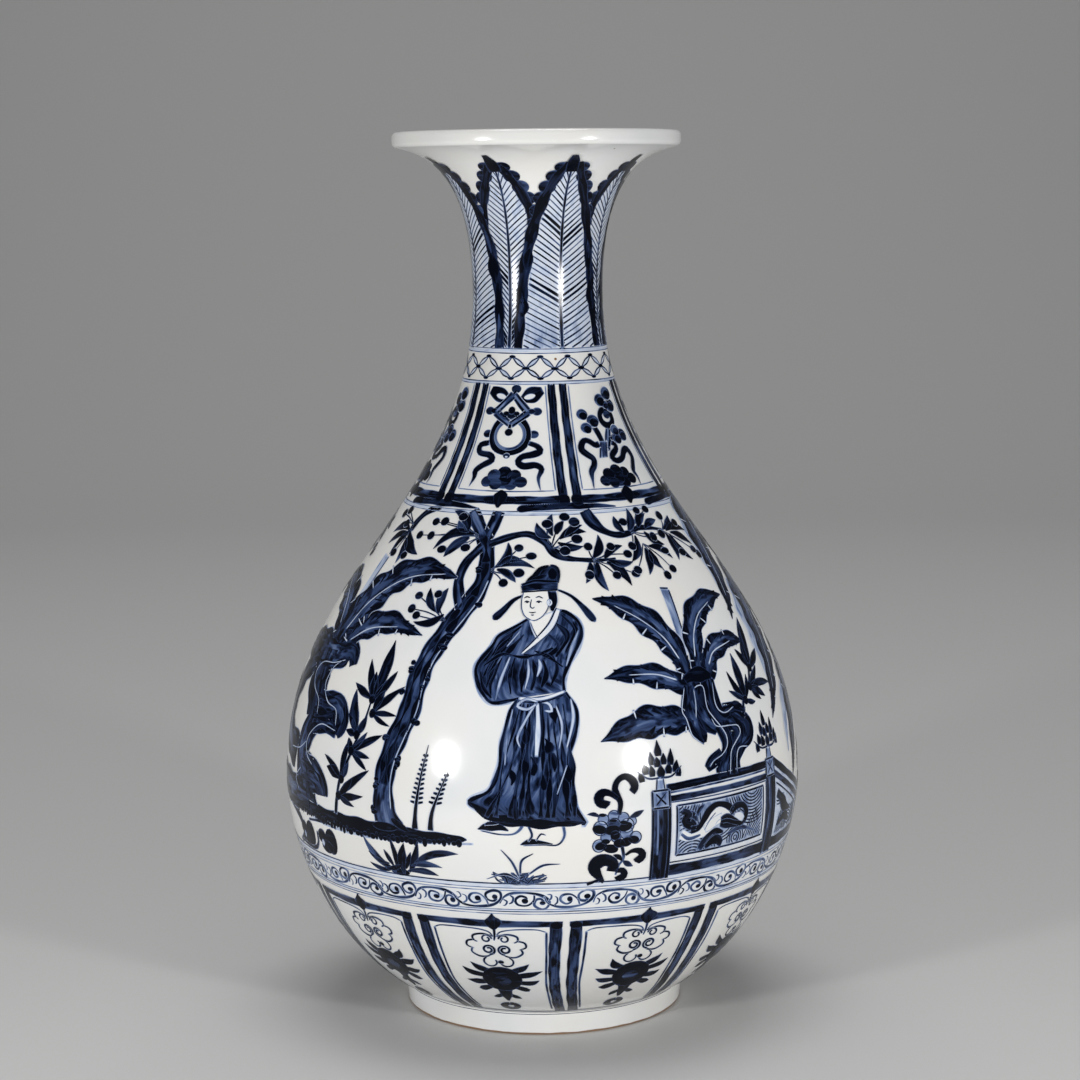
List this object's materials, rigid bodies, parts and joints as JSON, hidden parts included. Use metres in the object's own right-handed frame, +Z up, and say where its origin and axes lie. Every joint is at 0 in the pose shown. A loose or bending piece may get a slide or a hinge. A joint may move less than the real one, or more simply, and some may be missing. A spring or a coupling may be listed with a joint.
{
  "type": "pear-shaped vase",
  "caption": "Pear-shaped porcelain bottle vase with a flared mouth, slender neck, round belly and low foot ring, painted in underglaze blue.",
  "frame": {"origin": "centre of the standing rim, on the surface that the vase stands on", "axes": "+Z up along the axis of the vase, -Y towards the viewer of the painted figure"},
  "size_m": [0.177, 0.177, 0.3],
  "materials": {
    "porcelain": "clear bluish-white glaze over cobalt blue brush painting",
    "foot_porcelain": "clear glaze on the sides, bare burnt-orange biscuit on the standing rim",
    "luting_slip": "fired porcelain slip"
  },
  "bodies": {
    "root": {"foot_ring": "foot_porcelain", "foot_slip": "luting_slip", "lower_body": "porcelain", "belly_slip": "luting_slip", "upper_body": "porcelain", "neck_slip": "luting_slip", "neck": "porcelain"}
  },
  "joints": []
}
